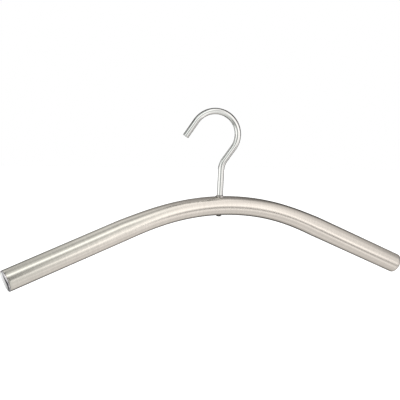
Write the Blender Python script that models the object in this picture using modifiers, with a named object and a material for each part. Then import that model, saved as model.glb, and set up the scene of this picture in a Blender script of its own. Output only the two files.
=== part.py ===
"""Metal hanger: a bent steel tube with pressed end caps, turning under a wire hook.

The origin is where the hook's crown rests on a rail. X runs along the tube, Z points up.
"""

import math

import bmesh
import bpy
from mathutils import Matrix, Vector

# Tube: a straight length bent to a shallow arch, its crown flattened by the bending.
# Its arms are measured along it from the crown of the arch, where the bend is a little off the middle
TUBE_DIAMETER = 0.020
TUBE_WALL = 0.0010
LEFT_ARM_LENGTH = 0.2250
RIGHT_ARM_LENGTH = 0.2226
BEND_RADIUS = 0.255
ARM_SLOPE = math.radians(21.3)
BEND_BLEND_SHARE = 0.32
FLATTENING_SHARE = 0.09
FLATTENED_REACH_SHARE = 1.15

# Hook: one wire, measured along its centreline
WIRE_DIAMETER = 0.006
SHANK_HEIGHT = 0.035
NECK_RADIUS = 0.016
NECK_ANGLE = math.radians(33.5)
NECK_LENGTH = 0.0145
CROWN_RADIUS = 0.0220
CROWN_ANGLE = math.radians(181.1)
TIP_LENGTH = 0.0178
TIP_CHAMFER = 0.0004
HOOK_TURN = math.radians(-20)

# Swivel: bush in the tube's top wall, rivet through its bottom wall, a little left of the arch's crown
SWIVEL_OFF_CROWN = 0.0063
CLEARANCE = 0.0003
BUSH_WALL = 0.0007
BUSH_FLANGE_LIP = 0.0005
BUSH_FLANGE_HEIGHT = 0.0006
BUSH_RIM_HEIGHT = 0.0003
BUSH_SLEEVE_BELOW = 0.0015
SHOULDER_STEP = 0.0012
RIVET_LIP = 0.0009
RIVET_HEIGHT = 0.0010
WASHER_LIP = 0.0008
WASHER_THICKNESS = 0.0008

# End caps: pressed from sheet
CAP_SHEET = 0.0006
CAP_RIM_ROUND = 0.0005
CAP_DOME = 0.0006
CAP_SKIRT = 0.0090
CAP_SKIRT_TAPER = 0.0004

# Base colour and roughness of each metal
METALS = {
    "brushed_tube": ((0.62, 0.59, 0.55), 0.30),
    "bush_steel": ((0.58, 0.55, 0.52), 0.28),
    "washer_steel": ((0.60, 0.60, 0.60), 0.35),
    "cap_steel": ((0.80, 0.80, 0.82), 0.10),
    "hook_wire": ((0.70, 0.70, 0.71), 0.15),
}

# How finely curves are cut, and how far cutters run past what they cut
TUBE_SIDES = 36
BEND_RINGS = 16
ARCH_STEPS = 64
SADDLE_STEPS = 2
TURNED_SIDES = 40
NECK_POINTS = 7
CROWN_POINTS = 30
WIRE_BEVEL_STEPS = 3
DOME_POINTS = 5
SHARP_ANGLE = math.radians(30)
OVERRUN = 0.002

tube_radius = TUBE_DIAMETER / 2
wire_radius = WIRE_DIAMETER / 2
crown_rise = tube_radius * (1 - FLATTENING_SHARE)
crown_spread = tube_radius * (1 + FLATTENING_SHARE)
bush_bore = wire_radius + CLEARANCE
bush_sleeve = bush_bore + BUSH_WALL
top_hole = bush_sleeve + CLEARANCE
bush_flange = top_hole + BUSH_FLANGE_LIP
stem_radius = wire_radius - SHOULDER_STEP
bottom_hole = stem_radius + CLEARANCE
washer_radius = wire_radius + WASHER_LIP


def slope_at(distance):
    """Slope of the tube this far along it from the crown: a steady bend that runs out into straight arms."""
    steady = ARM_SLOPE * BEND_RADIUS * (1 - BEND_BLEND_SHARE)
    blend = 2 * ARM_SLOPE * BEND_RADIUS * BEND_BLEND_SHARE
    run_out = min(max((abs(distance) - steady) / blend, 0), 1)
    turned = min(abs(distance), steady) + blend * (run_out - run_out**2 / 2)
    return math.copysign(turned / BEND_RADIUS, distance)


def tube_distances():
    """Where the tube's rings lie: close together along the bend, and one at each end."""
    bend_end = ARM_SLOPE * BEND_RADIUS * (1 + BEND_BLEND_SHARE)
    bend = [bend_end * i / BEND_RINGS for i in range(-BEND_RINGS, BEND_RINGS + 1)]
    return [-LEFT_ARM_LENGTH, *bend, RIGHT_ARM_LENGTH]


def arch_point(distance):
    """Point of the tube's centreline, with the crown of the arch at zero."""
    step = distance / ARCH_STEPS
    slopes = [slope_at(step * (i + 0.5)) for i in range(ARCH_STEPS)]
    return Vector((sum(map(math.cos, slopes)) * step, 0, -sum(map(math.sin, slopes)) * step))


def swivel_point(distance):
    """Point of the tube's centreline, seen from where the hook's axis crosses it."""
    return arch_point(distance) - arch_point(-SWIVEL_OFF_CROWN)


def lean_allowance(radius):
    """How far the sloping tube rises under one edge of a level disc round the hook's axis."""
    return radius * math.tan(abs(slope_at(-SWIVEL_OFF_CROWN)))


def section_at(distance):
    """Half height and half width of the tube's section, which the bend flattens."""
    reach = ARM_SLOPE * BEND_RADIUS * FLATTENED_REACH_SHARE
    flattened = FLATTENING_SHARE * max(1 - (distance / reach) ** 4, 0)
    return tube_radius * (1 - flattened), tube_radius * (1 + flattened)


def wall_depth(half_height, half_width, offset):
    """How far an oval wall lies above or below the centreline, this far from the middle of its width."""
    return half_height * math.sqrt(max(1 - (offset / half_width) ** 2, 0))


# Builders shared by the pieces


def new_collection(name):
    collection = bpy.data.collections.new(name)
    bpy.context.scene.collection.children.link(collection)
    return collection


def new_object(name, mesh, collection, parent=None):
    item = bpy.data.objects.new(name, mesh)
    collection.objects.link(item)
    item.parent = parent
    return item


def new_empty(name, location, turn, collection):
    pivot = bpy.data.objects.new(name, None)
    collection.objects.link(pivot)
    pivot.location = location
    pivot.rotation_euler.z = turn
    pivot.empty_display_size = tube_radius
    return pivot


def metal(name, colour, roughness):
    material = bpy.data.materials.new(name)
    material.use_nodes = True
    shader = material.node_tree.nodes["Principled BSDF"]
    shader.inputs["Base Color"].default_value = (*colour, 1)
    shader.inputs["Metallic"].default_value = 1
    shader.inputs["Roughness"].default_value = roughness
    return material


def finish(item, material):
    item.data.materials.append(material)
    item.data.shade_smooth()
    item.data.set_sharp_from_angle(angle=SHARP_ANGLE)


def mesh_from(builder, name):
    mesh = bpy.data.meshes.new(name)
    bmesh.ops.recalc_face_normals(builder, faces=builder.faces)
    builder.to_mesh(mesh)
    builder.free()
    return mesh


def cylinder_mesh(name, radius, low, high):
    """Upright cylinder between two heights."""
    builder = bmesh.new()
    middle = Matrix.Translation((0, 0, (low + high) / 2))
    bmesh.ops.create_cone(
        builder,
        cap_ends=True,
        segments=TURNED_SIDES,
        radius1=radius,
        radius2=radius,
        depth=high - low,
        matrix=middle,
    )
    return mesh_from(builder, name)


def turned_mesh(name, outline):
    """Spin a profile of (radius, height) points, closed or ending on the axis, about the upright axis."""
    builder = bmesh.new()
    corners = [builder.verts.new((radius, 0, height)) for radius, height in outline]
    edges = [builder.edges.new(pair) for pair in zip(corners, corners[1:])]
    if outline[0][0] and outline[-1][0]:
        edges.append(builder.edges.new((corners[-1], corners[0])))
    bmesh.ops.spin(
        builder,
        geom=corners + edges,
        cent=(0, 0, 0),
        axis=(0, 0, 1),
        angle=math.tau,
        steps=TURNED_SIDES,
        use_merge=True,
    )
    bmesh.ops.remove_doubles(builder, verts=builder.verts, dist=CLEARANCE / TURNED_SIDES)
    return mesh_from(builder, name)


def dome(radius, rise):
    """Points (radius, height) of a low dome, from its top on the axis out to its edge."""
    angles = [i / DOME_POINTS * math.pi / 2 for i in range(DOME_POINTS + 1)]
    return [(radius * math.sin(angle), rise * math.cos(angle)) for angle in angles]


def boolean(item, other, operation):
    """Cut or join another object, which is then kept as a hidden guide."""
    modifier = item.modifiers.new(f"{operation.lower()} {other.name}", "BOOLEAN")
    modifier.operation = operation
    modifier.solver = "EXACT"
    modifier.object = other
    other.hide_render = True
    other.display_type = "WIRE"


def arch_rings(builder, growth, distances):
    """Rings of vertices round the tube's centreline, its section grown by this much."""
    rings = []
    for distance in distances:
        centre, slope = swivel_point(distance), slope_at(distance)
        up = Vector((math.sin(slope), 0, math.cos(slope)))
        high, wide = (size + growth for size in section_at(distance))
        ring = []
        for side in range(TUBE_SIDES):
            angle = math.tau * side / TUBE_SIDES
            across = Vector((0, wide * math.sin(angle), 0))
            ring.append(builder.verts.new(centre + up * high * math.cos(angle) + across))
        rings.append(ring)
    for ring, following in zip(rings, rings[1:]):
        for side in range(TUBE_SIDES):
            nearby = (side + 1) % TUBE_SIDES
            builder.faces.new((ring[side], ring[nearby], following[nearby], following[side]))
    return rings


# Pieces of the hanger


def make_tube(parts, cutters, pivot, material):
    builder = bmesh.new()
    arch_rings(builder, 0, tube_distances())
    tube = new_object("tube", mesh_from(builder, "tube"), parts, pivot)
    wall = tube.modifiers.new("wall", "SOLIDIFY")
    wall.thickness = TUBE_WALL
    wall.offset = -1
    wall.use_even_offset = True
    top = cylinder_mesh("top_hole", top_hole, 0, crown_rise + OVERRUN)
    bottom = cylinder_mesh("bottom_hole", bottom_hole, -crown_rise - OVERRUN, 0)
    for mesh in (top, bottom):
        boolean(tube, new_object(mesh.name, mesh, cutters, pivot), "DIFFERENCE")
    finish(tube, material)


def make_top_bush(parts, cutters, pivot, material):
    """Collar that follows the tube's crown, with a sleeve down through the top hole."""
    flange_top = crown_rise + BUSH_FLANGE_HEIGHT
    rim_top = wall_depth(crown_rise, crown_spread, bush_flange) + CLEARANCE + BUSH_RIM_HEIGHT
    sleeve_end = crown_rise - TUBE_WALL - BUSH_SLEEVE_BELOW
    seat = wall_depth(crown_rise, crown_spread, bush_flange) - OVERRUN / 2
    outline = [
        (bush_bore, flange_top),
        (bush_bore + CLEARANCE, flange_top),
        (bush_flange, rim_top),
        (bush_flange, seat),
        (bush_sleeve, seat),
        (bush_sleeve, sleeve_end),
        (bush_bore, sleeve_end),
    ]
    bush = new_object("top_bush", turned_mesh("top_bush", outline), parts, pivot)
    builder = bmesh.new()
    reach = bush_flange + OVERRUN
    steps = range(-SADDLE_STEPS, SADDLE_STEPS + 1)
    rings = arch_rings(builder, CLEARANCE, [reach * i / SADDLE_STEPS - SWIVEL_OFF_CROWN for i in steps])
    for ring in (rings[0], rings[-1]):
        builder.faces.new(ring)
    saddle = new_object("bush_saddle", mesh_from(builder, "bush_saddle"), cutters, pivot)
    core = cylinder_mesh("saddle_core", bush_sleeve, -crown_rise, crown_rise + OVERRUN)
    boolean(saddle, new_object(core.name, core, cutters, pivot), "DIFFERENCE")
    boolean(bush, saddle, "DIFFERENCE")
    finish(bush, material)


def washer_heights():
    """Bottom and top of the washer, whose edge rests on the inside of the tube's lower wall."""
    rest = wall_depth(crown_rise - TUBE_WALL, crown_spread - TUBE_WALL, washer_radius)
    low = CLEARANCE - rest + lean_allowance(washer_radius)
    return low, low + WASHER_THICKNESS


def make_shoulder_washer(parts, pivot, material):
    low, high = washer_heights()
    outline = [(bottom_hole, high), (washer_radius, high), (washer_radius, low), (bottom_hole, low)]
    washer = new_object("shoulder_washer", turned_mesh("shoulder_washer", outline), parts, pivot)
    finish(washer, material)


def make_end_cap(name, side, parts, pivot, material):
    """Pressed cup: a domed face with a rolled rim, and a skirt inside the tube's end."""
    skirt = tube_radius - TUBE_WALL - CLEARANCE
    seat = CLEARANCE
    face = seat + CAP_SHEET
    outline = [(radius, face + rise) for radius, rise in dome(skirt, CAP_DOME)]
    outline += [
        (tube_radius - CAP_RIM_ROUND, face),
        (tube_radius, face - CAP_RIM_ROUND),
        (tube_radius, seat),
        (skirt, seat),
        (skirt, seat - CAP_SKIRT + CAP_SKIRT_TAPER),
        (skirt - CAP_SKIRT_TAPER, seat - CAP_SKIRT),
        (skirt - CAP_SHEET, seat - CAP_SKIRT),
        (skirt - CAP_SHEET, seat),
        (0, face + CAP_DOME - CAP_SHEET),
    ]
    cap = new_object(name, turned_mesh(name, outline), parts, pivot)
    end = RIGHT_ARM_LENGTH if side > 0 else -LEFT_ARM_LENGTH
    cap.location = swivel_point(end)
    cap.rotation_euler.y = side * math.pi / 2 + slope_at(end)
    finish(cap, material)


def bend_on(points, heading, radius, turn, count):
    """Carry a line of points on round an arc, to the left where the turn is positive."""
    side = math.copysign(1, turn)
    centre = points[-1] + side * radius * Vector((-math.sin(heading), 0, math.cos(heading)))
    for i in range(1, count + 1):
        at = heading + turn * i / count
        points.append(centre + side * radius * Vector((math.sin(at), 0, -math.cos(at))))
    return heading + turn


def run_on(points, heading, length):
    """Carry a line of points straight on."""
    points.append(points[-1] + length * Vector((math.cos(heading), 0, math.sin(heading))))


def hook_path():
    """Centreline of the wire from its shoulder to its tip, in the hook's own upright plane."""
    shoulder = washer_heights()[1] + CLEARANCE
    heading = math.pi / 2
    points = [Vector((0, 0, shoulder))]
    run_on(points, heading, SHANK_HEIGHT - shoulder)
    heading = bend_on(points, heading, NECK_RADIUS, -NECK_ANGLE, NECK_POINTS)
    run_on(points, heading, NECK_LENGTH)
    heading = bend_on(points, heading, CROWN_RADIUS, CROWN_ANGLE, CROWN_POINTS)
    run_on(points, heading, TIP_LENGTH - TIP_CHAMFER)
    run_on(points, heading, TIP_CHAMFER)
    return points


def crown_centre():
    """Centre of the hook's round crown, in the hook's own plane."""
    across = NECK_RADIUS * (1 - math.cos(NECK_ANGLE)) + NECK_LENGTH * math.sin(NECK_ANGLE)
    height = SHANK_HEIGHT + NECK_RADIUS * math.sin(NECK_ANGLE) + NECK_LENGTH * math.cos(NECK_ANGLE)
    side = CROWN_RADIUS * Vector((math.cos(NECK_ANGLE), 0, -math.sin(NECK_ANGLE)))
    return Vector((across, 0, height)) - side


def rail_seat():
    """Highest point inside the crown, in the hook's own plane, where a rail carries the hanger."""
    return crown_centre() + Vector((0, 0, CROWN_RADIUS - wire_radius))


def wire_mesh(points):
    """The bent wire as a mesh, its caps welded to its sides."""
    curve = bpy.data.curves.new("wire", "CURVE")
    curve.dimensions = "3D"
    curve.bevel_depth = wire_radius
    curve.bevel_resolution = WIRE_BEVEL_STEPS
    curve.use_fill_caps = True
    spline = curve.splines.new("POLY")
    spline.points.add(len(points) - 1)
    for point, place in zip(spline.points, points):
        point.co = (*place, 1)
    spline.points[-1].radius = 1 - TIP_CHAMFER / wire_radius
    guide = bpy.data.objects.new("wire", curve)
    bpy.context.scene.collection.objects.link(guide)
    graph = bpy.context.evaluated_depsgraph_get()
    mesh = bpy.data.meshes.new_from_object(guide.evaluated_get(graph))
    bpy.data.objects.remove(guide)
    bpy.data.curves.remove(curve)
    builder = bmesh.new()
    builder.from_mesh(mesh)
    bpy.data.meshes.remove(mesh)
    bmesh.ops.remove_doubles(builder, verts=builder.verts, dist=CLEARANCE / TURNED_SIDES)
    return mesh_from(builder, "hook")


def make_hook(parts, cutters, pivot, material):
    """The wire, joined to its rivet: a thin stem through the bottom wall and a low head under it."""
    hook = new_object("hook", wire_mesh(hook_path()), parts, pivot)
    head = stem_radius + RIVET_LIP
    head_top = -crown_rise - CLEARANCE - lean_allowance(head)
    stem_top = washer_heights()[1] + OVERRUN
    outline = [(0, stem_top), (stem_radius, stem_top), (stem_radius, head_top)]
    outline += [(radius, head_top - drop) for radius, drop in reversed(dome(head, RIVET_HEIGHT))]
    rivet = new_object("rivet", turned_mesh("rivet", outline), cutters, pivot)
    boolean(hook, rivet, "UNION")
    finish(hook, material)


def main():
    for item in list(bpy.data.objects):
        bpy.data.objects.remove(item)
    parts = new_collection("metal_hanger")
    cutters = new_collection("cutters")
    turned = Matrix.Rotation(HOOK_TURN, 3, "Z")
    swivel_centre = -(turned @ rail_seat())
    tube_pivot = new_empty("tube_pivot", swivel_centre, 0, parts)
    hook_pivot = new_empty("hook_pivot", swivel_centre, HOOK_TURN, parts)
    metals = {name: metal(name, colour, roughness) for name, (colour, roughness) in METALS.items()}
    make_tube(parts, cutters, tube_pivot, metals["brushed_tube"])
    make_top_bush(parts, cutters, tube_pivot, metals["bush_steel"])
    make_shoulder_washer(parts, tube_pivot, metals["washer_steel"])
    make_end_cap("end_cap_left", -1, parts, tube_pivot, metals["cap_steel"])
    make_end_cap("end_cap_right", 1, parts, tube_pivot, metals["cap_steel"])
    make_hook(parts, cutters, hook_pivot, metals["hook_wire"])


main()
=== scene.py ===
"""Looks of the metal hanger: brushed tube, polished end caps, bright wire hook and the studio round them.

Metres throughout. The origin is where the hook's crown rests on a rail, X runs along the tube, Z points up.
"""

import math

import bmesh
import bpy
import numpy as np
from mathutils import Matrix, Vector


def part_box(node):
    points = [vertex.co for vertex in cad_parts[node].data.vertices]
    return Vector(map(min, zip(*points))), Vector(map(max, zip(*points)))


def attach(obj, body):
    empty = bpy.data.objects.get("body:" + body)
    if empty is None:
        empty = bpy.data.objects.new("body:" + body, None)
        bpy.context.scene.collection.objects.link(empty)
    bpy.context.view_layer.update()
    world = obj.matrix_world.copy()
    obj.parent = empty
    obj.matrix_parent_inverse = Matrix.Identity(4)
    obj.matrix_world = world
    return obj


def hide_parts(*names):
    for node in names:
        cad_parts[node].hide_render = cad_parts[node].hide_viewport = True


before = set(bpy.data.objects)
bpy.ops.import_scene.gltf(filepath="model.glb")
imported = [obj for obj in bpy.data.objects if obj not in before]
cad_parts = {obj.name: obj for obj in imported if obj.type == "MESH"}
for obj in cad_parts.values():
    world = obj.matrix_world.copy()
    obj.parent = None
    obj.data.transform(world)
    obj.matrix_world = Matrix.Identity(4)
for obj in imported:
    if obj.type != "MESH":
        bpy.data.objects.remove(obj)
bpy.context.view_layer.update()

# Tube, as the frame holds it: its arms are measured along it from the crown of the arch
LEFT_ARM_LENGTH = 0.2250
RIGHT_ARM_LENGTH = 0.2226
TUBE_WALL = 0.0010
BEND_RADIUS = 0.255
ARM_SLOPE = math.radians(21.3)
BEND_BLEND_SHARE = 0.32
FLATTENING_SHARE = 0.09
FLATTENED_REACH_SHARE = 1.15
TUBE_EDGE_ROUND = 0.00012

# Hook, one wire measured along its centreline
WIRE_RADIUS = 0.003
SHANK_HEIGHT = 0.035
NECK_RADIUS = 0.016
NECK_ANGLE = math.radians(33.5)
NECK_LENGTH = 0.0145
CROWN_RADIUS = 0.0220
CROWN_ANGLE = math.radians(181.1)
TIP_LENGTH = 0.0178
TIP_CHAMFER = 0.0004
HOOK_TURN = math.radians(-20)

# Swivel, a little left of the arch's crown
SWIVEL_OFF_CROWN = 0.0063
CLEARANCE = 0.0003
BUSH_WALL = 0.0007
BUSH_FLANGE_LIP = 0.0005
BUSH_FLANGE_HEIGHT = 0.0006
BUSH_RIM_HEIGHT = 0.0003
BUSH_SLEEVE_BELOW = 0.0015
BUSH_TOP_ROUND = 0.00009
BUSH_RIM_ROUND = 0.00018
SHOULDER_STEP = 0.0012
RIVET_LIP = 0.0009
RIVET_HEIGHT = 0.0010
WASHER_LIP = 0.0008
WASHER_THICKNESS = 0.0008

# End caps
CAP_SHEET = 0.0006
CAP_RIM_ROUND = 0.0005
CAP_BACK_ROUND = CAP_RIM_ROUND / 3
CAP_DOME = 0.0006
CAP_SKIRT = 0.0090

# How finely the surfaces are cut, and above which angle in degrees an edge stays sharp
TUBE_SIDES = 144
RING_STEP = 0.0020
TURNED_SIDES = 128
WIRE_SIDES = 48
WIRE_STEP = 0.0008
SADDLE_STEPS = 8
ROUND_STEPS = 6
DOME_STEPS = 12
TUBE_EDGE_STEPS = 2
TUBE_EDGE_ABOVE = math.radians(60)
SHARP_ABOVE = 40
BUSH_SHARP_ABOVE = 30
CAP_SHARP_ABOVE = 35
OVERRUN = 0.002

# Metals. A size of marks is along and round the tube or wire, and on turned pieces in turns round and in
# metres along the profile. A range is what marks are carried over to. Relief is a depth and a strength.
NOISE_LOW = 0.3
NOISE_HIGH = 0.7
NOISE_ROUGHNESS = 0.55
NOISE_DETAIL = 3
FINE_DETAIL = 4
SOFT_DETAIL = 2

TUBE_COLOUR = (0.75, 0.703, 0.640)
TUBE_DARK = (0.71, 0.665, 0.605)
TUBE_LIGHT = (0.79, 0.741, 0.675)
TUBE_ROUGHNESS = 0.23
TUBE_ROUGH_RANGE = (0.215, 0.245)
TUBE_ROUGH_SWING = 0.03
TUBE_GLOSS_STRETCH = 0.47
TUBE_EDGE_TINT = 0.25
TUBE_RELIEF = (0.000012, 0.5)
BRUSH_SLANT = math.radians(3)
BRUSH_MARK_SIZE = (0.00028, 0.0090)
BRUSH_MARK_SHARE = 0.6
SCRATCH_SIZE = (0.00075, 0.0240)
BELT_RING_SIZE = (0.0026, 0.0600)
BELT_RING_RANGE = (0.965, 1.03)
CLOUD_SIZE = (0.0300, 0.0200)
CLOUD_RANGE = (0.985, 1.015)

CAP_COLOUR = (0.85, 0.80, 0.82)
CAP_DARK = (0.81, 0.76, 0.78)
CAP_LIGHT = (0.89, 0.84, 0.86)
CAP_ROUGHNESS = 0.06
CAP_ROUGH_RANGE = (0.045, 0.075)
CAP_ROUGH_SWING = 0.01
CAP_EDGE_TINT = 0.8
CAP_RELIEF = (0.000004, 0.4)
CAP_RING_SIZE = (3.0, 0.00035)
CAP_HAZE_SIZE = (0.2, 0.0030)

BUSH_COLOUR = (0.72, 0.68, 0.65)
BUSH_DARK = (0.66, 0.62, 0.59)
BUSH_LIGHT = (0.78, 0.74, 0.71)
BUSH_ROUGHNESS = 0.24
BUSH_ROUGH_RANGE = (0.20, 0.28)
BUSH_ROUGH_SWING = 0.03
BUSH_GLOSS_STRETCH = 0.3
BUSH_EDGE_TINT = 0.6
BUSH_RELIEF = (0.000010, 0.5)
BUSH_RING_SIZE = (2.0, 0.00012)
BUSH_HAZE_SIZE = (0.15, 0.0020)

HOOK_COLOUR = (0.765, 0.757, 0.735)
HOOK_DARK = (0.725, 0.717, 0.695)
HOOK_LIGHT = (0.805, 0.797, 0.775)
HOOK_ROUGHNESS = 0.14
HOOK_ROUGH_RANGE = (0.12, 0.17)
HOOK_ROUGH_SWING = 0.03
HOOK_EDGE_TINT = 0.0
HOOK_RELIEF = (0.000008, 0.4)
HAIRLINE_SIZE = (0.0300, 0.00030)
HAIRLINE_SLANT = 0.004
HOOK_HAZE_SIZE = (0.0060, 0.0040)
# Painted shade on the rivet head, which faces down under the tube
RIVET_PAINTED_SHADE = (0.16, 0.15, 0.14)
RIVET_DARK_TO = 0.0040
RIVET_FADED_BY = 0.0080
# Painted shade on the wire from the stem up to just above the bush, where the wire enters it
FOOT_PAINTED_SHADE = (0.30, 0.285, 0.27)
FOOT_DARK_TO = 0.0003
FOOT_FADED_BY = 0.0011

WASHER_COLOUR = (0.62, 0.62, 0.62)
WASHER_DARK = (0.54, 0.54, 0.54)
WASHER_ROUGHNESS = 0.35
WASHER_ROUGH_RANGE = (0.30, 0.42)
WASHER_RELIEF = (0.000010, 0.4)
WASHER_RING_SCALE = 900
WASHER_RING_WOBBLE = 1.5

# Camera, its lens and sensor in millimetres, and how far the swivel's centre lies from the middle of its view
CAMERA_AZIMUTH = math.radians(-28.51)
CAMERA_ELEVATION = math.radians(5.99)
CAMERA_ROLL = math.radians(2.93)
CAMERA_DISTANCE = 0.9297
CAMERA_LENS = 87.27
CAMERA_SENSOR = 36
CAMERA_REACH = 50
SWIVEL_RIGHT_OF_VIEW = 0.01848
SWIVEL_ABOVE_VIEW = -0.00538

# Light tent: a wide sleeve round the hanger, seen only in its reflections
TENT_RADIUS = 0.32
TENT_HEIGHT = -0.03
TENT_HALF_LENGTH = 0.8
TENT_STEP = 0.01
TENT_SIDES = 180
TENT_LEVEL = 0.785
TENT_DARKEST = 0.02
TENT_COOL = (0.962, 1.0, 0.985)
TENT_WARM = (1.01, 0.99, 0.985)
TENT_COOL_BELOW = -0.17
TENT_WARM_ABOVE = 0.10
TENT_LEFT_END = 1.4
TENT_RIGHT_END = 0.40

# Dark hoop round the hook's crown, seen only in reflections, where it draws the wire's outlines
HOOP_RADIUS = 0.040
HOOP_HALF_WIDTH = 0.007
HOOP_OPEN_BELOW = math.radians(170)
HOOP_TAPER = math.radians(40)
HOOP_LEVEL = 0.10
HOOP_THIN_SHARE = 0.1

# Floor
FLOOR_BELOW = 0.55
FLOOR_HALF_SIZE = 6.0
FLOOR_COLOUR = (0.9, 0.9, 0.9)
FLOOR_ROUGHNESS = 0.8
FLOOR_GLOW = 0.4

tube_low, tube_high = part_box("tube")
tube_radius = (tube_high.y - tube_low.y) / 2 / (1 + FLATTENING_SHARE)
crown_rise = tube_radius * (1 - FLATTENING_SHARE)
crown_spread = tube_radius * (1 + FLATTENING_SHARE)
bush_bore = WIRE_RADIUS + CLEARANCE
bush_sleeve = bush_bore + BUSH_WALL
top_hole = bush_sleeve + CLEARANCE
bush_flange = top_hole + BUSH_FLANGE_LIP
stem_radius = WIRE_RADIUS - SHOULDER_STEP
bottom_hole = stem_radius + CLEARANCE
washer_radius = WIRE_RADIUS + WASHER_LIP


def crown_centre():
    """Centre of the hook's round crown, in the hook's own plane."""
    across = NECK_RADIUS * (1 - math.cos(NECK_ANGLE)) + NECK_LENGTH * math.sin(NECK_ANGLE)
    height = SHANK_HEIGHT + NECK_RADIUS * math.sin(NECK_ANGLE) + NECK_LENGTH * math.cos(NECK_ANGLE)
    side = CROWN_RADIUS * Vector((math.cos(NECK_ANGLE), 0, -math.sin(NECK_ANGLE)))
    return Vector((across, 0, height)) - side


hook_turned = Matrix.Rotation(HOOK_TURN, 4, "Z")
swivel_centre = -(hook_turned @ (crown_centre() + Vector((0, 0, CROWN_RADIUS - WIRE_RADIUS))))
tube_place = Matrix.Translation(swivel_centre)
hook_place = tube_place @ hook_turned


# Shape of the tube


def slope_at(distance):
    """Slope of the tube this far along it from the crown: a steady bend that runs out into straight arms."""
    steady = ARM_SLOPE * BEND_RADIUS * (1 - BEND_BLEND_SHARE)
    blend = 2 * ARM_SLOPE * BEND_RADIUS * BEND_BLEND_SHARE
    run_out = min(max((abs(distance) - steady) / blend, 0), 1)
    turned = min(abs(distance), steady) + blend * (run_out - run_out**2 / 2)
    return math.copysign(turned / BEND_RADIUS, distance)


def arch_point(distance):
    """Point of the tube's centreline, with the crown of the arch at zero."""
    steps = max(round(abs(distance) / RING_STEP), 1)
    slopes = [slope_at(distance * (i + 0.5) / steps) for i in range(steps)]
    step = distance / steps
    return Vector((sum(map(math.cos, slopes)) * step, 0, -sum(map(math.sin, slopes)) * step))


def swivel_point(distance):
    """Point of the tube's centreline, seen from where the hook's axis crosses it."""
    return arch_point(distance) - arch_point(-SWIVEL_OFF_CROWN)


def lean_allowance(radius):
    """How far the sloping tube rises under one edge of a level disc round the hook's axis."""
    return radius * math.tan(abs(slope_at(-SWIVEL_OFF_CROWN)))


def section_at(distance):
    """Half height and half width of the tube's section, which the bend flattens."""
    reach = ARM_SLOPE * BEND_RADIUS * FLATTENED_REACH_SHARE
    flattened = FLATTENING_SHARE * max(1 - (distance / reach) ** 4, 0)
    return tube_radius * (1 - flattened), tube_radius * (1 + flattened)


def wall_depth(half_height, half_width, offset):
    """How far an oval wall lies above or below the centreline, this far from the middle of its width."""
    return half_height * math.sqrt(max(1 - (offset / half_width) ** 2, 0))


def washer_top():
    """Height of the washer's top, on which the hook's shoulder rests."""
    rest = wall_depth(crown_rise - TUBE_WALL, crown_spread - TUBE_WALL, washer_radius)
    return CLEARANCE - rest + lean_allowance(washer_radius) + WASHER_THICKNESS


# Builders shared by the pieces


def mesh_object(name, builder):
    """A new object from this bmesh, its faces pointing out."""
    mesh = bpy.data.meshes.new(name)
    bmesh.ops.recalc_face_normals(builder, faces=builder.faces)
    builder.to_mesh(mesh)
    builder.free()
    item = bpy.data.objects.new(name, mesh)
    bpy.context.scene.collection.objects.link(item)
    return item


def settle(item):
    """Replace the object's mesh by what its modifiers make of it, and drop them."""
    graph = bpy.context.evaluated_depsgraph_get()
    item.data = bpy.data.meshes.new_from_object(item.evaluated_get(graph))
    item.modifiers.clear()


def smooth(item, sharp_above=SHARP_ABOVE):
    """Shade smooth, apart from edges above this many degrees."""
    item.data.shade_smooth()
    item.data.set_sharp_from_angle(angle=math.radians(sharp_above))


def rounded(outline, rounds):
    """An outline of (radius, height) corners with the numbered ones rounded off."""
    points = []
    count = len(outline)
    for i, corner in enumerate(outline):
        if i not in rounds:
            points.append(Vector(corner))
            continue
        here = Vector(corner)
        back = (Vector(outline[i - 1]) - here).normalized() * rounds[i]
        ahead = (Vector(outline[(i + 1) % count]) - here).normalized() * rounds[i]
        for k in range(ROUND_STEPS + 1):
            share = k / ROUND_STEPS
            points.append(here + back * (1 - share) ** 2 + ahead * share**2)
    return [(point.x, point.y) for point in points]


def skin(builder, rings, place_at):
    """Faces between rings of points, with a UV map of what place_at says of each ring's and side's number."""
    uv = builder.loops.layers.uv.new("UVMap")
    sides = len(rings[0])
    for i, (ring, following) in enumerate(zip(rings, rings[1:])):
        for side in range(sides):
            nearby = (side + 1) % sides
            corners = (ring[side], ring[nearby], following[nearby], following[side])
            places = ((i, side), (i, side + 1), (i + 1, side + 1), (i + 1, side))
            pairs = []
            for corner, place in zip(corners, places):
                if corner not in [seen for seen, _ in pairs]:
                    pairs.append((corner, place))
            face = builder.faces.new([corner for corner, _ in pairs])
            for loop, (_, place) in zip(face.loops, pairs):
                loop[uv].uv = place_at(*place)


def turned(name, outline, closed=True):
    """Spin a profile of (radius, height) points about the upright axis, with a UV map round and along it."""
    builder = bmesh.new()
    travelled = [0.0]
    ends = zip(outline, outline[1:] + outline[:1])
    for (radius, height), (next_radius, next_height) in ends:
        travelled.append(travelled[-1] + math.hypot(next_radius - radius, next_height - height))
    angles = [math.tau * side / TURNED_SIDES for side in range(TURNED_SIDES)]
    rings = []
    for radius, height in outline:
        if radius == 0:
            rings.append([builder.verts.new((0, 0, height))] * TURNED_SIDES)
            continue
        ring = [builder.verts.new((radius * math.cos(a), radius * math.sin(a), height)) for a in angles]
        rings.append(ring)
    if closed:
        rings.append(rings[0])
    skin(builder, rings, lambda along, around: (around / TURNED_SIDES, travelled[along]))
    return mesh_object(name, builder)


def cut(item, cutter):
    """Cut one object out of another, and remove it."""
    modifier = item.modifiers.new("cut", "BOOLEAN")
    modifier.operation = "DIFFERENCE"
    modifier.solver = "EXACT"
    modifier.object = cutter
    settle(item)
    bpy.data.objects.remove(cutter)


def cylinder(name, radius, low, high):
    """A cylinder about the upright axis, to cut with."""
    return turned(name, [(0, high), (radius, high), (radius, low), (0, low)], closed=False)


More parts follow.
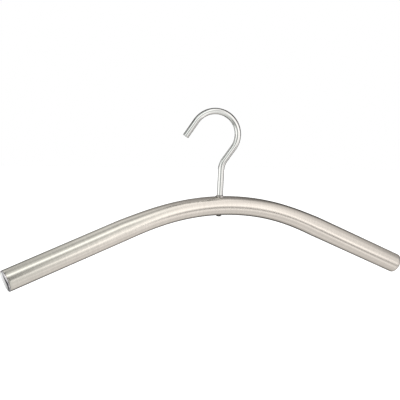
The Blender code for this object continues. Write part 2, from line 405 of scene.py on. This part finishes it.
def arch_shell(name, growth, distances, closed_ends=False):
    """The tube's surface, grown by this much, with a UV map in metres along and round it."""
    builder = bmesh.new()
    rings = []
    for distance in distances:
        centre, slope = swivel_point(distance), slope_at(distance)
        up = Vector((math.sin(slope), 0, math.cos(slope)))
        high, wide = (size + growth for size in section_at(distance))
        ring = []
        for side in range(TUBE_SIDES):
            angle = math.tau * side / TUBE_SIDES
            across = Vector((0, wide * math.sin(angle), 0))
            ring.append(builder.verts.new(centre + up * high * math.cos(angle) + across))
        rings.append(ring)
    girth = math.tau * tube_radius
    skin(builder, rings, lambda along, around: (distances[along], girth * around / TUBE_SIDES))
    if closed_ends:
        for ring in (rings[0], rings[-1]):
            builder.faces.new(ring)
    return mesh_object(name, builder)


def swept(name, stations):
    """Round sections of these radii along points in the XZ plane, with a UV map in metres along and round."""
    builder = bmesh.new()
    places = [place for place, _ in stations]
    rings, travelled = [], [0.0]
    normal = Vector((1, 0, 0))
    for i, (place, radius) in enumerate(stations):
        ahead = places[min(i + 1, len(places) - 1)] - places[max(i - 1, 0)]
        if ahead.length > 0:
            onward = ahead.normalized()
            normal = Vector((onward.z, 0, -onward.x))
        if i:
            step = (place - places[i - 1]).length + abs(radius - stations[i - 1][1])
            travelled.append(travelled[-1] + step)
        if radius == 0:
            rings.append([builder.verts.new(place)] * WIRE_SIDES)
            continue
        ring = []
        for side in range(WIRE_SIDES):
            angle = math.tau * side / WIRE_SIDES
            out = normal * math.cos(angle) + Vector((0, math.sin(angle), 0))
            ring.append(builder.verts.new(place + out * radius))
        rings.append(ring)
    girth = math.tau * WIRE_RADIUS
    skin(builder, rings, lambda along, around: (travelled[along], girth * around / WIRE_SIDES))
    return mesh_object(name, builder)


# Pieces of the hanger


def make_tube():
    """Arched tube with its wall, rounded end edges and the two holes for the hook."""
    length = LEFT_ARM_LENGTH + RIGHT_ARM_LENGTH
    count = round(length / RING_STEP)
    distances = [length * i / count - LEFT_ARM_LENGTH for i in range(count + 1)]
    tube = arch_shell("brushed_tube", 0, distances)
    wall = tube.modifiers.new("wall", "SOLIDIFY")
    wall.thickness = TUBE_WALL
    wall.offset = -1
    wall.use_even_offset = True
    edge = tube.modifiers.new("edge", "BEVEL")
    edge.width = TUBE_EDGE_ROUND
    edge.segments = TUBE_EDGE_STEPS
    edge.limit_method = "ANGLE"
    edge.angle_limit = TUBE_EDGE_ABOVE
    settle(tube)
    cut(tube, cylinder("top_hole", top_hole, 0, crown_rise + OVERRUN))
    cut(tube, cylinder("bottom_hole", bottom_hole, -crown_rise - OVERRUN, 0))
    smooth(tube)
    tube.data.transform(tube_place)
    return tube


def make_bush():
    """Collar that follows the tube's crown, with a sleeve down through the top hole."""
    flange_top = crown_rise + BUSH_FLANGE_HEIGHT
    wall_under_rim = wall_depth(crown_rise, crown_spread, bush_flange)
    rim_top = wall_under_rim + CLEARANCE + BUSH_RIM_HEIGHT
    sleeve_end = crown_rise - TUBE_WALL - BUSH_SLEEVE_BELOW
    seat = wall_under_rim - OVERRUN / 2
    outline = [
        (bush_bore, flange_top),
        (bush_bore + CLEARANCE, flange_top),
        (bush_flange, rim_top),
        (bush_flange, seat),
        (bush_sleeve, seat),
        (bush_sleeve, sleeve_end),
        (bush_bore, sleeve_end),
    ]
    bush = turned("turned_bush", rounded(outline, {1: BUSH_TOP_ROUND, 2: BUSH_RIM_ROUND}))
    reach = bush_flange + OVERRUN
    steps = range(-SADDLE_STEPS, SADDLE_STEPS + 1)
    distances = [reach * i / SADDLE_STEPS - SWIVEL_OFF_CROWN for i in steps]
    saddle = arch_shell("saddle", CLEARANCE, distances, closed_ends=True)
    cut(saddle, cylinder("saddle_core", bush_sleeve, -crown_rise, crown_rise + OVERRUN))
    cut(bush, saddle)
    smooth(bush, BUSH_SHARP_ABOVE)
    bush.data.transform(tube_place)
    return bush


def make_cap(name, side):
    """Pressed cup: a domed face with a rolled rim, and a skirt inside the tube's end."""
    skirt = tube_radius - TUBE_WALL - CLEARANCE
    seat = CLEARANCE
    face = seat + CAP_SHEET
    angles = [i / DOME_STEPS * math.pi / 2 for i in range(DOME_STEPS + 1)]
    outline = [(skirt * math.sin(a), face + CAP_DOME * math.cos(a)) for a in angles]
    rim = [
        (tube_radius - CAP_RIM_ROUND, face),
        (tube_radius, face),
        (tube_radius, seat),
        (skirt, seat),
    ]
    outline += rounded(rim, {1: CAP_RIM_ROUND, 2: CAP_BACK_ROUND})
    outline += [
        (skirt, seat - CAP_SKIRT),
        (skirt - CAP_SHEET, seat - CAP_SKIRT),
        (skirt - CAP_SHEET, seat),
        (0, face + CAP_DOME - CAP_SHEET),
    ]
    cap = turned(name, outline, closed=False)
    smooth(cap, CAP_SHARP_ABOVE)
    end = RIGHT_ARM_LENGTH if side > 0 else -LEFT_ARM_LENGTH
    lean = Matrix.Rotation(side * math.pi / 2 + slope_at(end), 4, "Y")
    cap.data.transform(tube_place @ Matrix.Translation(swivel_point(end)) @ lean)
    return cap


def bent(points, heading, radius, turn):
    """Carry a line of points on round an arc, to the left where the turn is positive."""
    side = math.copysign(1, turn)
    centre = points[-1] + side * radius * Vector((-math.sin(heading), 0, math.cos(heading)))
    count = math.ceil(abs(turn) * radius / WIRE_STEP)
    for i in range(1, count + 1):
        at = heading + turn * i / count
        points.append(centre + side * radius * Vector((math.sin(at), 0, -math.cos(at))))
    return heading + turn


def straight(points, heading, length):
    """Carry a line of points straight on."""
    start, onward = points[-1], Vector((math.cos(heading), 0, math.sin(heading)))
    count = math.ceil(length / WIRE_STEP)
    points.extend(start + onward * length * i / count for i in range(1, count + 1))


def wire_travelled(height):
    """How far along the hook's profile, from under its rivet head, its straight shank is at this height."""
    head = stem_radius + RIVET_LIP
    below_shank = RIVET_HEIGHT + head + RIVET_LIP + SHOULDER_STEP
    return below_shank + height + crown_rise + CLEARANCE + lean_allowance(head)


def hook_path():
    """Centreline of the wire from its shoulder to its tip, in the hook's own upright plane."""
    shoulder = washer_top() + CLEARANCE
    points = [Vector((0, 0, shoulder))]
    heading = math.pi / 2
    straight(points, heading, SHANK_HEIGHT - shoulder)
    heading = bent(points, heading, NECK_RADIUS, -NECK_ANGLE)
    straight(points, heading, NECK_LENGTH)
    heading = bent(points, heading, CROWN_RADIUS, CROWN_ANGLE)
    straight(points, heading, TIP_LENGTH)
    return points


def make_hook():
    """Rivet head, stem, shoulder and bent wire as one turned and swept surface."""
    head = stem_radius + RIVET_LIP
    head_top = -crown_rise - CLEARANCE - lean_allowance(head)
    shoulder = washer_top() + CLEARANCE
    stations = [(Vector((0, 0, head_top - RIVET_HEIGHT)), 0.0)]
    for i in range(1, DOME_STEPS + 1):
        angle = i / DOME_STEPS * math.pi / 2
        low = Vector((0, 0, head_top - RIVET_HEIGHT * math.cos(angle)))
        stations.append((low, head * math.sin(angle)))
    stations.append((Vector((0, 0, head_top)), stem_radius))
    stations.append((Vector((0, 0, shoulder)), stem_radius))
    path = hook_path()
    stations += [(point, WIRE_RADIUS) for point in path[:-1]]
    onward = (path[-1] - path[-2]).normalized()
    for i in range(ROUND_STEPS + 1):
        angle = i / ROUND_STEPS * math.pi / 2
        inset = TIP_CHAMFER * (1 - math.cos(angle))
        stations.append((path[-1] - onward * TIP_CHAMFER * (1 - math.sin(angle)), WIRE_RADIUS - inset))
    stations.append((path[-1], 0.0))
    hook = swept("bent_hook", stations)
    smooth(hook)
    hook.data.transform(hook_place)
    return hook


# Materials


def principled(name, colour, roughness, anisotropic=0.0, edge_tint=1.0):
    """A metal, with its nodes ready to be added to."""
    material = bpy.data.materials.new(name)
    material.use_nodes = True
    shader = material.node_tree.nodes["Principled BSDF"]
    shader.inputs["Base Color"].default_value = (*colour, 1)
    shader.inputs["Metallic"].default_value = 1
    shader.inputs["Roughness"].default_value = roughness
    shader.inputs["Anisotropic"].default_value = anisotropic
    shader.inputs["Specular Tint"].default_value = (edge_tint, edge_tint, edge_tint, 1)
    return material, material.node_tree, shader


def surface_place(tree):
    """Where a point lies along and round its piece."""
    place = tree.nodes.new("ShaderNodeUVMap")
    place.uv_map = "UVMap"
    return place.outputs["UV"]


def grain(tree, place, sizes, slant=0.0, detail=NOISE_DETAIL):
    """Noise whose grains have these sizes along and round the piece."""
    spread = tree.nodes.new("ShaderNodeMapping")
    spread.inputs["Rotation"].default_value = (0, 0, slant)
    tree.links.new(place, spread.inputs["Vector"])
    stretch = tree.nodes.new("ShaderNodeVectorMath")
    stretch.operation = "MULTIPLY"
    stretch.inputs[1].default_value = (1 / sizes[0], 1 / sizes[1], 1)
    tree.links.new(spread.outputs["Vector"], stretch.inputs[0])
    noise = tree.nodes.new("ShaderNodeTexNoise")
    noise.inputs["Scale"].default_value = 1
    noise.inputs["Detail"].default_value = detail
    noise.inputs["Roughness"].default_value = NOISE_ROUGHNESS
    tree.links.new(stretch.outputs["Vector"], noise.inputs["Vector"])
    return noise.outputs["Fac"]


def ranged(tree, value, low, high, seen_low=NOISE_LOW, seen_high=NOISE_HIGH):
    """A value carried over to a new range, and held inside it."""
    carry = tree.nodes.new("ShaderNodeMapRange")
    carry.inputs["From Min"].default_value = seen_low
    carry.inputs["From Max"].default_value = seen_high
    carry.inputs["To Min"].default_value = low
    carry.inputs["To Max"].default_value = high
    tree.links.new(value, carry.inputs["Value"])
    return carry.outputs["Result"]


def combined(tree, operation, first, second):
    """Two values, or a value and a number, put together."""
    maths = tree.nodes.new("ShaderNodeMath")
    maths.operation = operation
    for socket, value in zip(maths.inputs, (first, second)):
        if isinstance(value, (int, float)):
            socket.default_value = value
        else:
            tree.links.new(value, socket)
    return maths.outputs[0]


def mixed(tree, factor, first, second):
    """A colour between two, or between a colour and a link."""
    blend = tree.nodes.new("ShaderNodeMix")
    blend.data_type = "RGBA"
    tree.links.new(factor, blend.inputs["Factor"])
    colours = [socket for socket in blend.inputs if socket.type == "RGBA"]
    for socket, colour in zip(colours, (first, second)):
        if isinstance(colour, tuple):
            socket.default_value = (*colour, 1)
        else:
            tree.links.new(colour, socket)
    return [socket for socket in blend.outputs if socket.type == "RGBA"][0]


def roughened(tree, shader, fine, swing, broad, rough_range):
    """Roughness that follows the broad marks over a range and swings a little with the fine ones."""
    swung = ranged(tree, fine, -swing, swing)
    rough = combined(tree, "ADD", swung, ranged(tree, broad, *rough_range))
    tree.links.new(rough, shader.inputs["Roughness"])


def raised(tree, shader, height, depth, strength):
    """Small relief of this depth under a material."""
    bump = tree.nodes.new("ShaderNodeBump")
    bump.inputs["Strength"].default_value = strength
    bump.inputs["Distance"].default_value = depth
    tree.links.new(height, bump.inputs["Height"])
    tree.links.new(bump.outputs["Normal"], shader.inputs["Normal"])


def brushed_along_u(tree, shader):
    """Lay the shader's longer gloss along the piece, across the brush marks round it."""
    tangent = tree.nodes.new("ShaderNodeTangent")
    tangent.direction_type = "UV_MAP"
    tangent.uv_map = "UVMap"
    tree.links.new(tangent.outputs["Tangent"], shader.inputs["Tangent"])


def make_tube_steel():
    """Stainless steel brushed round the tube on a belt, with paler and darker rings where the belt dwelt."""
    material, tree, shader = principled(
        "brushed_steel", TUBE_COLOUR, TUBE_ROUGHNESS, TUBE_GLOSS_STRETCH, TUBE_EDGE_TINT
    )
    place = surface_place(tree)
    marks = grain(tree, place, BRUSH_MARK_SIZE, slant=BRUSH_SLANT, detail=FINE_DETAIL)
    scratches = grain(tree, place, SCRATCH_SIZE, slant=-BRUSH_SLANT, detail=SOFT_DETAIL)
    rings = grain(tree, place, BELT_RING_SIZE, slant=BRUSH_SLANT, detail=SOFT_DETAIL)
    clouds = grain(tree, place, CLOUD_SIZE, detail=SOFT_DETAIL)
    marks = combined(tree, "MULTIPLY", marks, BRUSH_MARK_SHARE)
    scratches = combined(tree, "MULTIPLY", scratches, 1 - BRUSH_MARK_SHARE)
    fine = combined(tree, "ADD", marks, scratches)
    colour = mixed(tree, ranged(tree, fine, 0, 1), TUBE_DARK, TUBE_LIGHT)
    shade = ranged(tree, rings, *BELT_RING_RANGE)
    shade = combined(tree, "MULTIPLY", shade, ranged(tree, clouds, *CLOUD_RANGE))
    tint = tree.nodes.new("ShaderNodeVectorMath")
    tint.operation = "SCALE"
    tree.links.new(colour, tint.inputs[0])
    tree.links.new(shade, tint.inputs["Scale"])
    tree.links.new(tint.outputs["Vector"], shader.inputs["Base Color"])
    roughened(tree, shader, fine, TUBE_ROUGH_SWING, rings, TUBE_ROUGH_RANGE)
    raised(tree, shader, fine, *TUBE_RELIEF)
    brushed_along_u(tree, shader)
    return material


def make_cap_steel():
    """Polished cap, with the faint rings that the polishing wheel left on it."""
    material, tree, shader = principled("polished_cap", CAP_COLOUR, CAP_ROUGHNESS, edge_tint=CAP_EDGE_TINT)
    place = surface_place(tree)
    rings = grain(tree, place, CAP_RING_SIZE)
    haze = grain(tree, place, CAP_HAZE_SIZE, detail=SOFT_DETAIL)
    colour = mixed(tree, ranged(tree, rings, 0, 1), CAP_DARK, CAP_LIGHT)
    tree.links.new(colour, shader.inputs["Base Color"])
    roughened(tree, shader, rings, CAP_ROUGH_SWING, haze, CAP_ROUGH_RANGE)
    raised(tree, shader, rings, *CAP_RELIEF)
    return material


def make_bush_steel():
    """Turned collar, with the lathe's fine rings."""
    material, tree, shader = principled(
        "turned_steel", BUSH_COLOUR, BUSH_ROUGHNESS, BUSH_GLOSS_STRETCH, BUSH_EDGE_TINT
    )
    place = surface_place(tree)
    rings = grain(tree, place, BUSH_RING_SIZE)
    haze = grain(tree, place, BUSH_HAZE_SIZE, detail=SOFT_DETAIL)
    colour = mixed(tree, ranged(tree, rings, 0, 1), BUSH_DARK, BUSH_LIGHT)
    tree.links.new(colour, shader.inputs["Base Color"])
    roughened(tree, shader, rings, BUSH_ROUGH_SWING, haze, BUSH_ROUGH_RANGE)
    raised(tree, shader, rings, *BUSH_RELIEF)
    return material


def make_hook_wire():
    """Bright drawn wire with the die's long hairlines, and painted shade from its rivet head up to just above
    the bush, darkest on the head.
    """
    material, tree, shader = principled("bright_wire", HOOK_COLOUR, HOOK_ROUGHNESS, edge_tint=HOOK_EDGE_TINT)
    place = surface_place(tree)
    lines = grain(tree, place, HAIRLINE_SIZE, slant=HAIRLINE_SLANT, detail=FINE_DETAIL)
    haze = grain(tree, place, HOOK_HAZE_SIZE)
    split = tree.nodes.new("ShaderNodeSeparateXYZ")
    tree.links.new(place, split.inputs["Vector"])
    along = split.outputs["X"]
    bright = mixed(tree, ranged(tree, lines, 0, 1), HOOK_DARK, HOOK_LIGHT)
    # Painted shade at the wire's foot: dark up to just above the bush's top, then fading out
    bush_top = wire_travelled(crown_rise + BUSH_FLANGE_HEIGHT)
    past_foot_shade = ranged(tree, along, 0, 1, bush_top + FOOT_DARK_TO, bush_top + FOOT_FADED_BY)
    # Painted shade on the rivet head under the tube, fading out up the stem
    past_head_shade = ranged(tree, along, 0, 1, RIVET_DARK_TO, RIVET_FADED_BY)
    colour = mixed(tree, past_head_shade, RIVET_PAINTED_SHADE, mixed(tree, past_foot_shade, FOOT_PAINTED_SHADE, bright))
    tree.links.new(colour, shader.inputs["Base Color"])
    roughened(tree, shader, lines, HOOK_ROUGH_SWING, haze, HOOK_ROUGH_RANGE)
    raised(tree, shader, lines, *HOOK_RELIEF)
    return material


def make_washer_steel():
    """Plain stamped washer, with marks left in rings by the wire that turns on it."""
    material, tree, shader = principled("washer_steel", WASHER_COLOUR, WASHER_ROUGHNESS)
    where = tree.nodes.new("ShaderNodeTexCoord")
    from_axis = tree.nodes.new("ShaderNodeVectorMath")
    from_axis.operation = "SUBTRACT"
    from_axis.inputs[1].default_value = swivel_centre
    tree.links.new(where.outputs["Object"], from_axis.inputs[0])
    waves = tree.nodes.new("ShaderNodeTexWave")
    waves.wave_type = "RINGS"
    waves.rings_direction = "Z"
    waves.inputs["Scale"].default_value = WASHER_RING_SCALE
    waves.inputs["Distortion"].default_value = WASHER_RING_WOBBLE
    tree.links.new(from_axis.outputs["Vector"], waves.inputs["Vector"])
    rings = waves.outputs["Fac"]
    colour = mixed(tree, rings, WASHER_DARK, WASHER_COLOUR)
    tree.links.new(colour, shader.inputs["Base Color"])
    rough = ranged(tree, rings, *WASHER_ROUGH_RANGE, seen_low=0, seen_high=1)
    tree.links.new(rough, shader.inputs["Roughness"])
    raised(tree, shader, rings, *WASHER_RELIEF)
    return material


# The hanger, put together

material_tube = make_tube_steel()
material_cap = make_cap_steel()
material_hook = make_hook_wire()
material_bush = make_bush_steel()
material_washer = make_washer_steel()

tube = make_tube()
bush = make_bush()
hook = make_hook()
cap_left = make_cap("polished_cap_left", -1)
cap_right = make_cap("polished_cap_right", 1)

pieces = (
    (tube, "tube", "tube", "brushed_tube", material_tube),
    (bush, "top_bush", "tube", "bush_steel", material_bush),
    (cap_left, "end_cap_left", "tube", "cap_steel", material_cap),
    (cap_right, "end_cap_right", "tube", "cap_steel", material_cap),
    (hook, "hook", "hook", "hook_wire", material_hook),
)
for piece, node, body, slot, material in pieces:
    piece.data.materials.append(material)
    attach(piece, body)
    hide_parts(node)

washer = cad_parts["shoulder_washer"]
washer.material_slots[0].material = material_washer

# Studio


def glowing(name, strength):
    """An even white glow, with its nodes ready to be added to."""
    material = bpy.data.materials.new(name)
    material.use_nodes = True
    tree = material.node_tree
    tree.nodes.clear()
    emission = tree.nodes.new("ShaderNodeEmission")
    emission.inputs["Strength"].default_value = strength
    output = tree.nodes.new("ShaderNodeOutputMaterial")
    tree.links.new(emission.outputs["Emission"], output.inputs["Surface"])
    return material, tree, emission


def reflected_only(item, material):
    """Show a glowing surface in reflections alone, as studio kit and not as part of the hanger."""
    material.cycles.emission_sampling = "NONE"
    item.data.materials.append(material)
    for ray in ("visible_camera", "visible_diffuse", "visible_shadow", "visible_transmission"):
        setattr(item, ray, False)


# Soft strips on the tent's wall: how far each spreads, in metres, and the places that it runs through, each
# with its x, its angle above the front in degrees, and the strength that the strip adds there
STRIPS = {
    "lamp over left arm": (
        0.058,
        (
            (-0.60, 46, 0.50), (-0.30, 54, 0.95), (-0.13, 54, 0.95), (-0.09, 58, 0.80), (-0.04, 77, 0.50),
            (0.02, 86, 0.45), (0.07, 87, 0.52), (0.13, 86, 0.54), (0.18, 88, 0.25),
        ),
    ),
    "gap under it": (
        0.046,
        (
            (-0.45, 16, -0.30), (-0.30, 24, -0.38), (-0.19, 32, -0.22), (-0.10, 34, -0.26),
            (-0.03, 52, -0.26), (0.03, 68, -0.05),
        ),
    ),
    "lamp before crown": (0.048, ((-0.15, -4, 0.20), (0.02, -4, 0.95), (0.04, 24, 0.65), (0.04, 40, 0.45))),
    "fill before crown": (0.035, ((-0.12, 20, 0.20), (-0.06, 16, 0.10))),
    "broad light right": (
        0.150,
        (
            (0.10, 60, 0.33), (0.10, 45, 0.28), (0.28, 40, 0.55), (0.40, 45, 0.24), (0.60, 40, 0.24),
        ),
    ),
    "its bright edge": (
        0.045,
        (
            (0.10, 22, 0.45), (0.23, 20, 0.50), (0.29, 6, 0.90), (0.36, -21, 0.98), (0.48, -10, 0.40),
        ),
    ),
    "dark line right": (
        0.034,
        (
            (0.06, -4, -0.50), (0.13, -4, -0.52), (0.20, -6, -0.62), (0.25, -21, -0.55), (0.31, -38, -0.48),
            (0.42, -38, -0.22), (0.60, -40, -0.25),
        ),
    ),
    "light line right": (
        0.035,
        (
            (0.00, -12, 0.25), (0.12, -24, 0.44), (0.17, -28, 0.58), (0.24, -43, 0.42), (0.32, -58, 0.38),
            (0.40, -62, 0.00),
        ),
    ),
    "shade low left": (0.055, ((-0.40, -24, -0.10), (-0.10, -23, 0.00), (0.06, -24, -0.08))),
    "light low middle": (0.050, ((-0.10, -44, 0.05), (0.12, -44, 0.25))),
    "light low right": (0.050, ((0.05, -88, 0.15), (0.20, -92, 0.18))),
    "dark ceiling": (
        0.100,
        (
            (-0.45, 150, -0.10), (-0.24, 160, -0.15), (-0.10, 142, -0.10), (0.11, 126, -0.36),
            (0.25, 126, -0.55), (0.40, 138, -0.60), (0.55, 128, -0.50), (0.68, 122, -0.22),
            (0.80, 112, -0.05),
        ),
    ),
    "light over left arm": (0.048, ((-0.36, 126, 0.30), (-0.16, 122, 0.26), (-0.02, 116, 0.22))),
    "ceiling edge": (
        0.060,
        (
            (-0.40, 92, -0.20), (-0.20, 92, -0.24), (-0.09, 86, -0.42), (0.00, 97, -0.38),
            (0.05, 101, -0.28), (0.14, 102, -0.28), (0.20, 102, -0.38), (0.28, 104, -0.24),
        ),
    ),
    "dark floor": (
        0.085,
        (
            (-0.40, -118, -0.30), (-0.04, -133, -0.82), (0.04, -138, -0.55), (0.12, -134, -0.18),
            (0.23, -141, -0.70), (0.38, -138, -0.42),
        ),
    ),
    "dark behind": (
        0.100,
        (
            (-0.40, 180, -0.02), (-0.14, 180, -0.06), (0.04, 177, -0.45), (0.20, 173, -0.76),
            (0.42, 174, -0.90), (0.58, 170, -0.58), (0.76, 166, -0.25),
        ),
    ),
    "dark edge left": (
        0.036,
        (
            (-0.45, 160, -0.70), (-0.24, 159, -0.80), (-0.12, 164, -0.72), (-0.04, 166, -0.30),
        ),
    ),
    "shade far right": (0.085, ((0.52, 64, -0.04), (0.62, 56, -0.22), (0.74, 62, -0.04))),
    "light far right": (0.070, ((0.36, 16, 0.10), (0.50, 8, 0.12))),
    "dark over right arm": (0.050, ((0.30, 155, -0.25), (0.38, 156, -0.40), (0.52, 155, -0.25))),
    "dark under arch": (0.050, ((-0.02, -148, -0.30), (0.18, -155, -0.28), (0.38, -154, -0.35))),
    "shade before hook": (0.048, ((-0.185, 2, -0.95), (-0.20, 13, -0.88), (-0.24, 27, -0.45))),
    "shade before rim": (0.048, ((-0.44, -26, -0.50), (-0.36, -20, -0.90), (-0.285, -24, -0.80))),
    "lamp far left": (0.110, ((-0.80, 8, 0.40), (-0.52, 12, 0.30))),
    "shade low far left": (0.080, ((-0.46, -60, -0.40), (-0.55, -80, -0.50), (-0.50, -112, -0.60))),
    "shade low far right": (0.120, ((0.70, -70, -0.15), (0.90, -70, -0.15))),
    "shade over tip": (0.055, ((-0.37, 92, -0.45), (-0.30, 108, -0.45), (-0.22, 124, -0.40))),
    "glow for cap": (0.042, ((-0.25, -160, 0.50), (-0.12, -163, 0.60))),
    "glow beside cap": (0.060, ((-0.40, 140, 0.55), (-0.40, 178, 0.55))),
    "bar for rim": (0.026, ((-0.325, -182, -1.30), (-0.305, -162, -1.30))),
    "bar for cap": (0.023, ((-0.36, -141, -1.30), (-0.29, -143, -1.30), (-0.22, -146, -1.30))),
    "cross bar for cap": (0.018, ((-0.305, -143, -1.30), (-0.268, -153, -1.10))),
}


def strip_glow(x, angle, spread, spots):
    """Brightness that one soft strip adds at these points of the tent's wall."""
    metres_per_degree = math.radians(1) * TENT_RADIUS
    nearest = np.full(x.shape, np.inf)
    strength = np.zeros(x.shape)
    for start, end in zip(spots, spots[1:]):
        start_x, start_angle, start_strength = start
        end_x, end_angle, end_strength = end
        run = end_x - start_x
        turn = (end_angle - start_angle) * metres_per_degree
        past = x - start_x
        turned_past = ((angle - start_angle + 180) % 360 - 180) * metres_per_degree
        share = np.clip((past * run + turned_past * turn) / (run * run + turn * turn), 0, 1)
        distance = np.hypot(past - share * run, turned_past - share * turn)
        closer = distance < nearest
        nearest = np.where(closer, distance, nearest)
        here = start_strength + share * (end_strength - start_strength)
        strength = np.where(closer, here, strength)
    return strength * np.exp(-((nearest / spread) ** 2))


def make_tent():
    """Sleeve of glowing cloth, whose strips are kept as a value of each point of its mesh."""
    builder = bmesh.new()
    count = round(2 * TENT_HALF_LENGTH / TENT_STEP)
    rings = []
    for i in range(count + 1):
        x = TENT_HALF_LENGTH * (2 * i / count - 1)
        ring = []
        for side in range(TENT_SIDES):
            angle = math.tau * side / TENT_SIDES
            out = Vector((0, -math.cos(angle), math.sin(angle))) * TENT_RADIUS
            ring.append(builder.verts.new(Vector((x, 0, TENT_HEIGHT)) + out))
        rings.append(ring)
    for ring, following in zip(rings, rings[1:]):
        for side in range(TENT_SIDES):
            nearby = (side + 1) % TENT_SIDES
            builder.faces.new((ring[side], ring[nearby], following[nearby], following[side]))
    tent = mesh_object("light_tent", builder)
    places = np.array([vertex.co for vertex in tent.data.vertices])
    x = places[:, 0]
    angle = np.degrees(np.arctan2(places[:, 2] - TENT_HEIGHT, -places[:, 1]))
    glow = np.full(len(places), TENT_LEVEL)
    for spread, spots in STRIPS.values():
        glow += strip_glow(x, angle, spread, spots)
    stored = tent.data.attributes.new("glow", "FLOAT", "POINT")
    stored.data.foreach_set("value", np.maximum(glow, TENT_DARKEST))
    tent.data.transform(Matrix.Translation(Vector((0, swivel_centre.y, swivel_centre.z))))
    material, tree, emission = glowing("tent_cloth", TENT_LEVEL)
    attribute = tree.nodes.new("ShaderNodeAttribute")
    attribute.attribute_name = "glow"
    position = tree.nodes.new("ShaderNodeNewGeometry")
    split = tree.nodes.new("ShaderNodeSeparateXYZ")
    tree.links.new(position.outputs["Position"], split.inputs["Vector"])
    warmth = ranged(tree, split.outputs["X"], 0, 1, TENT_COOL_BELOW, TENT_WARM_ABOVE)
    tree.links.new(mixed(tree, warmth, TENT_COOL, TENT_WARM), emission.inputs["Color"])
    tree.links.new(attribute.outputs["Fac"], emission.inputs["Strength"])
    reflected_only(tent, material)


def make_tent_end(name, x, glow):
    """A round flat end that closes the tent."""
    builder = bmesh.new()
    bmesh.ops.create_circle(builder, cap_ends=True, segments=TENT_SIDES, radius=TENT_RADIUS)
    end = mesh_object(name, builder)
    upright = Matrix.Rotation(math.pi / 2, 4, "Y")
    centre = Vector((x, swivel_centre.y, swivel_centre.z + TENT_HEIGHT))
    end.data.transform(Matrix.Translation(centre) @ upright)
    reflected_only(end, glowing(name, glow)[0])


make_tent()
make_tent_end("tent_left_end", -TENT_HALF_LENGTH, TENT_LEFT_END)
make_tent_end("tent_right_end", TENT_HALF_LENGTH, TENT_RIGHT_END)

# Floor and surroundings


def make_floor():
    """White floor that keeps the hanger's shadow, and glows a little to the camera and in reflections."""
    builder = bmesh.new()
    bmesh.ops.create_grid(builder, x_segments=1, y_segments=1, size=FLOOR_HALF_SIZE)
    floor = mesh_object("floor", builder)
    floor.location.z = -FLOOR_BELOW
    material = bpy.data.materials.new("white_floor")
    material.use_nodes = True
    tree = material.node_tree
    shader = tree.nodes["Principled BSDF"]
    shader.inputs["Base Color"].default_value = (*FLOOR_COLOUR, 1)
    shader.inputs["Roughness"].default_value = FLOOR_ROUGHNESS
    path = tree.nodes.new("ShaderNodeLightPath")
    seen = combined(tree, "MAXIMUM", path.outputs["Is Camera Ray"], path.outputs["Is Glossy Ray"])
    shader.inputs["Emission Color"].default_value = (1, 1, 1, 1)
    tree.links.new(combined(tree, "MULTIPLY", seen, FLOOR_GLOW), shader.inputs["Emission Strength"])
    floor.data.materials.append(material)


make_floor()

world = bpy.data.worlds.new("studio")
bpy.context.scene.world = world
world.use_nodes = True
surroundings = world.node_tree.nodes["Background"]
surroundings.inputs["Color"].default_value = (1, 1, 1, 1)
surroundings.inputs["Strength"].default_value = 1.0

# Camera
camera_data = bpy.data.cameras.new("camera")
camera_data.lens = CAMERA_LENS
camera_data.sensor_width = CAMERA_SENSOR
camera_data.clip_end = CAMERA_REACH
camera = bpy.data.objects.new("camera", camera_data)
bpy.context.scene.collection.objects.link(camera)
facing = (
    Matrix.Rotation(CAMERA_AZIMUTH, 4, "Z")
    @ Matrix.Rotation(math.pi / 2 - CAMERA_ELEVATION, 4, "X")
    @ Matrix.Rotation(CAMERA_ROLL, 4, "Z")
)
swivel_seen = Vector((SWIVEL_RIGHT_OF_VIEW, SWIVEL_ABOVE_VIEW, -CAMERA_DISTANCE))
camera.matrix_world = Matrix.Translation(swivel_centre - facing.to_3x3() @ swivel_seen) @ facing
bpy.context.scene.camera = camera

# Hoop, which faces the camera


def make_hoop():
    """Thin dark band round the hook's crown, open below and narrowing to its two ends."""
    builder = bmesh.new()
    span = math.tau - HOOP_OPEN_BELOW
    rims = []
    for i in range(TENT_SIDES + 1):
        angle = (HOOP_OPEN_BELOW - math.pi) / 2 + span * i / TENT_SIDES
        x, y = HOOP_RADIUS * math.cos(angle), HOOP_RADIUS * math.sin(angle)
        from_end = span * min(i, TENT_SIDES - i) / TENT_SIDES
        widened = min(from_end / HOOP_TAPER, 1)
        half_width = HOOP_HALF_WIDTH * (HOOP_THIN_SHARE + (1 - HOOP_THIN_SHARE) * widened)
        rims.append([builder.verts.new((x, y, z)) for z in (-half_width, half_width)])
    for (near, far), (next_near, next_far) in zip(rims, rims[1:]):
        builder.faces.new((near, next_near, next_far, far))
    hoop = mesh_object("dark_hoop", builder)
    hoop.data.transform(Matrix.Translation(hook_place @ crown_centre()) @ facing)
    reflected_only(hoop, glowing("dark_hoop", HOOP_LEVEL)[0])


make_hoop()

bpy.context.scene.view_settings.view_transform = "Standard"
